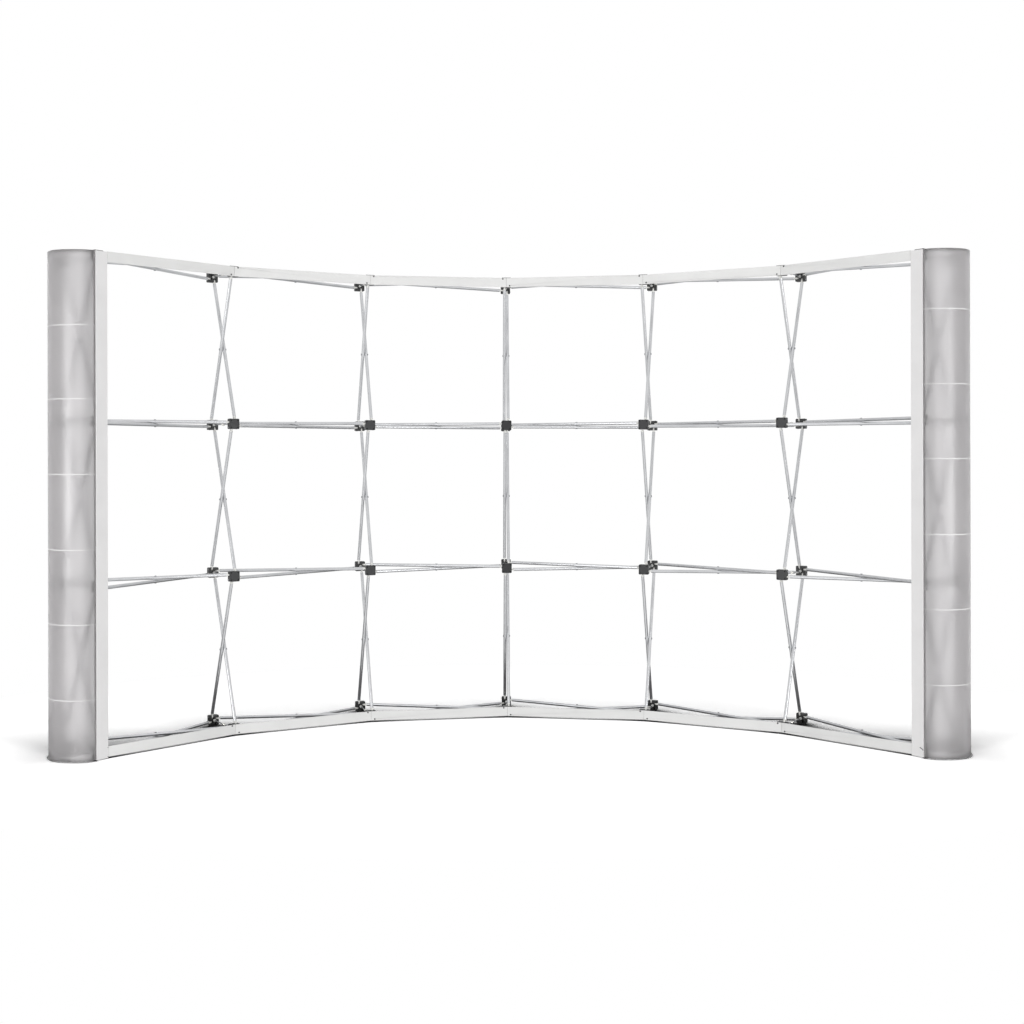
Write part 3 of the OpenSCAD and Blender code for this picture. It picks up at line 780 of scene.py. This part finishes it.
def seenDirectly(tree):
    # 1 for camera, glossy and see-through rays, and 0 for the light that falls on the object
    path = addNode(tree, "ShaderNodeLightPath")
    seen = addNode(tree, "ShaderNodeMath",
                   links={0: path.outputs["Is Camera Ray"], 1: path.outputs["Is Glossy Ray"]},
                   operation="MAXIMUM")
    seenAll = addNode(tree, "ShaderNodeMath",
                      links={0: seen.outputs[0], 1: path.outputs["Is Transmission Ray"]},
                      operation="MAXIMUM")
    return seenAll.outputs[0]


def placeOnFloor(tree, place):
    # how far behind the faces of the bars, which run straight from hub to hub, and the angle
    # sideways from the middle of the wall
    bay = math.radians(layout["bayAngle"])
    centred = addNode(tree, "ShaderNodeVectorMath", {1: (0.0, layout["middleY"], 0.0)},
                      {0: place}, operation="ADD")
    parts = addNode(tree, "ShaderNodeSeparateXYZ", links={0: centred.outputs["Vector"]})
    radius = addNode(tree, "ShaderNodeVectorMath", links={0: centred.outputs["Vector"]},
                     operation="LENGTH")
    angle = addNode(tree, "ShaderNodeMath", links={0: parts.outputs["X"], 1: parts.outputs["Y"]},
                    operation="ARCTAN2")
    wrapped = addNode(tree, "ShaderNodeMath", {1: bay, 2: 0.0}, {0: angle.outputs[0]},
                      operation="WRAP")
    folded = addNode(tree, "ShaderNodeMath", {1: bay / 2}, {0: wrapped.outputs[0]},
                     operation="SUBTRACT")
    cosine = addNode(tree, "ShaderNodeMath", links={0: folded.outputs[0]}, operation="COSINE")
    square = addNode(tree, "ShaderNodeMath",
                     links={0: radius.outputs["Value"], 1: cosine.outputs[0]},
                     operation="MULTIPLY")
    depth = addNode(tree, "ShaderNodeMath", {1: layout["frontR"] * math.cos(bay / 2)},
                    {0: square.outputs[0]}, operation="SUBTRACT")
    sideways = addNode(tree, "ShaderNodeMath", links={0: angle.outputs[0]}, operation="ABSOLUTE")
    return depth.outputs[0], sideways.outputs[0]


def darkUnderFrame(tree, settings, depth, sideways):
    # the dark line under the bars, and the thin one under the end panels; 1 on open floor
    end = math.radians(layout["bayAngle"]) * layout["bays"] / 2
    gapOpen = addNode(tree, "ShaderNodeAmbientOcclusion", {"Distance": settings["gap"]["reach"]},
                      samples=settings["rays"])
    lineOpen = addNode(tree, "ShaderNodeAmbientOcclusion",
                       {"Distance": settings["contact"]["reach"]}, samples=settings["rays"])
    gap = addNode(tree, "ShaderNodeMath", {1: settings["gap"]["power"]},
                  {0: gapOpen.outputs["AO"]}, operation="POWER")
    line = addNode(tree, "ShaderNodeMath", {1: settings["contact"]["power"]},
                   {0: lineOpen.outputs["AO"]}, operation="POWER")
    under = addNode(tree, "ShaderNodeMapRange",
                    {"From Min": settings["gap"]["starts"][0],
                     "From Max": settings["gap"]["starts"][1], "To Min": 1.0},
                    {"Value": depth, "To Max": gap.outputs[0]})
    middle = addNode(tree, "ShaderNodeMath", {1: end + settings["beyond"]}, {0: sideways},
                     operation="LESS_THAN")
    dark = addNode(tree, "ShaderNodeMapRange",
                   links={"Value": middle.outputs[0], "To Min": line.outputs[0],
                          "To Max": under.outputs["Result"]})
    return dark.outputs["Result"]


def softShade(tree, settings, depth, sideways):
    # the wide soft shade behind the frame and the narrower one beside its ends; 1 on open floor
    wide, narrow = settings["shade"], settings["besides"]
    shadeOpen = addNode(tree, "ShaderNodeAmbientOcclusion", {"Distance": wide["reach"]},
                        samples=settings["rays"])
    sideOpen = addNode(tree, "ShaderNodeAmbientOcclusion", {"Distance": narrow["reach"]},
                       samples=settings["rays"])
    shade = addNode(tree, "ShaderNodeMapRange",
                    {"From Min": wide["open"][0], "From Max": wide["open"][1],
                     "To Min": wide["level"]},
                    {"Value": shadeOpen.outputs["AO"]})
    besides = addNode(tree, "ShaderNodeMapRange",
                      {"From Min": narrow["open"][0], "From Max": narrow["open"][1],
                       "To Min": narrow["level"]},
                      {"Value": sideOpen.outputs["AO"]})
    aside = addNode(tree, "ShaderNodeMapRange",
                    {"From Min": settings["aside"][0], "From Max": settings["aside"][1]},
                    {"Value": sideways}, interpolation_type="SMOOTHSTEP")
    soft = addNode(tree, "ShaderNodeMapRange",
                   links={"Value": aside.outputs["Result"], "To Min": shade.outputs["Result"],
                          "To Max": besides.outputs["Result"]})
    behind = addNode(tree, "ShaderNodeMapRange",
                     {"From Min": settings["behind"][0], "From Max": settings["behind"][1],
                      "To Min": 1.0},
                     {"Value": depth, "To Max": soft.outputs["Result"]})
    return behind.outputs["Result"]


def whitePaperSweep(settings):
    # White paper sweep: to camera, glossy and see-through rays it shows white,
    # darker only where the object keeps light off it.
    material = bpy.data.materials.new("whitePaperSweep")
    material.use_nodes = True
    tree = material.node_tree
    tree.nodes.clear()
    seenAll = seenDirectly(tree)
    place = addNode(tree, "ShaderNodeTexCoord").outputs["Object"]
    depth, sideways = placeOnFloor(tree, place)
    dark = darkUnderFrame(tree, settings, depth, sideways)
    soft = softShade(tree, settings, depth, sideways)
    both = addNode(tree, "ShaderNodeMath", links={0: dark, 1: soft}, operation="MULTIPLY")
    shown = addNode(tree, "ShaderNodeMapRange",
                    {"To Min": 0.0, "To Max": settings["floorShown"]},
                    {"Value": both.outputs[0]})
    shaded = addNode(tree, "ShaderNodeMapRange", {"To Min": settings["floorColour"]},
                     {"Value": seenAll, "To Max": shown.outputs["Result"]})
    level = shaded.outputs["Result"]
    grey = addNode(tree, "ShaderNodeCombineColor",
                   links={"Red": level, "Green": level, "Blue": level})
    paper = addNode(tree, "ShaderNodeBsdfDiffuse", links={"Color": grey.outputs["Color"]})
    # far from the object the sweep is plain white
    stretched = addNode(tree, "ShaderNodeVectorMath", {1: (1.0, settings["depthScale"], 1.0)},
                        {0: place}, operation="MULTIPLY")
    distance = addNode(tree, "ShaderNodeVectorMath", links={0: stretched.outputs["Vector"]},
                       operation="LENGTH")
    away = addNode(tree, "ShaderNodeMapRange",
                   {"From Min": settings["fade"][0], "From Max": settings["fade"][1]},
                   {"Value": distance.outputs["Value"]}, interpolation_type="SMOOTHSTEP")
    plain = addNode(tree, "ShaderNodeMath", links={0: seenAll, 1: away.outputs["Result"]},
                    operation="MULTIPLY")
    white = addNode(tree, "ShaderNodeEmission", {"Strength": 1.0})
    sweep = addNode(tree, "ShaderNodeMixShader",
                    links={0: plain.outputs[0], 1: paper.outputs[0], 2: white.outputs[0]})
    addNode(tree, "ShaderNodeOutputMaterial", links={"Surface": sweep.outputs[0]})
    return material


def buildFloor(settings):
    mesh = bmesh.new()
    half = settings["floorSize"] / 2
    corners = [(-half, -half), (half, -half), (half, half), (-half, half)]
    mesh.faces.new([mesh.verts.new((x, y, 0)) for x, y in corners])
    floor = addStageMesh("studioFloor", mesh)
    floor.data.materials.append(whitePaperSweep(settings))


def buildWorld(settings):
    world = bpy.data.worlds.new("whiteRoom")
    bpy.context.scene.world = world
    world.use_nodes = True
    tree = world.node_tree
    tree.nodes.clear()
    level = addNode(tree, "ShaderNodeMapRange",
                    {"To Min": settings["roomLevel"], "To Max": 1.0},
                    {"Value": seenDirectly(tree)})
    light = addNode(tree, "ShaderNodeBackground", {"Color": (1, 1, 1, 1)},
                    {"Strength": level.outputs["Result"]})
    addNode(tree, "ShaderNodeOutputWorld", links={"Surface": light.outputs[0]})


def buildSoftbox(name, settings):
    data = bpy.data.lights.new(name, "AREA")
    data.shape = "RECTANGLE"
    data.size, data.size_y = settings["size"]
    data.energy = settings["power"]
    obj = bpy.data.objects.new(name, data)
    bpy.context.scene.collection.objects.link(obj)
    obj.location = settings["place"]
    aim = Vector(settings["aim"]) - Vector(settings["place"])
    obj.rotation_euler = aim.to_track_quat("-Z", "Y").to_euler()


def buildReflectionCard(settings):
    mesh = bmesh.new()
    edges = []
    steps = settings["steps"]
    for step in range(steps + 1):
        turn = math.radians(settings["reach"] * (2 * step / steps - 1))
        edge = []
        for radius in (settings["inner"], settings["outer"]):
            x, y = radius * math.sin(turn), radius * math.cos(turn) - layout["middleY"]
            edge.append(mesh.verts.new((x, y, settings["lift"])))
        edges.append(edge)
    for near, far in zip(edges, edges[1:]):
        mesh.faces.new((near[0], far[0], far[1], near[1]))
    reflectionCard = addStageMesh("greyReflectionCard", mesh)
    # A matt grey sheet seen only as a grey reflection: a painted reflection that darkens the
    # tubes' undersides
    material = bpy.data.materials.new("greyReflectionMaterial")
    material.use_nodes = True
    shader = material.node_tree.nodes["Principled BSDF"]
    shader.inputs["Base Color"].default_value = toLinear(settings["colour"])
    shader.inputs["Roughness"].default_value = settings["roughness"]
    reflectionCard.data.materials.append(material)
    reflectionCard.visible_camera = False
    reflectionCard.visible_diffuse = False
    reflectionCard.visible_transmission = False
    reflectionCard.visible_shadow = False


buildFloor(studio)
buildWorld(studio)
buildReflectionCard(studio["reflectionCard"])
buildSoftbox("leftSoftbox", studio["left"])
buildSoftbox("rightSoftbox", studio["right"])
buildSoftbox("topSoftbox", studio["top"])
print("studio lit")
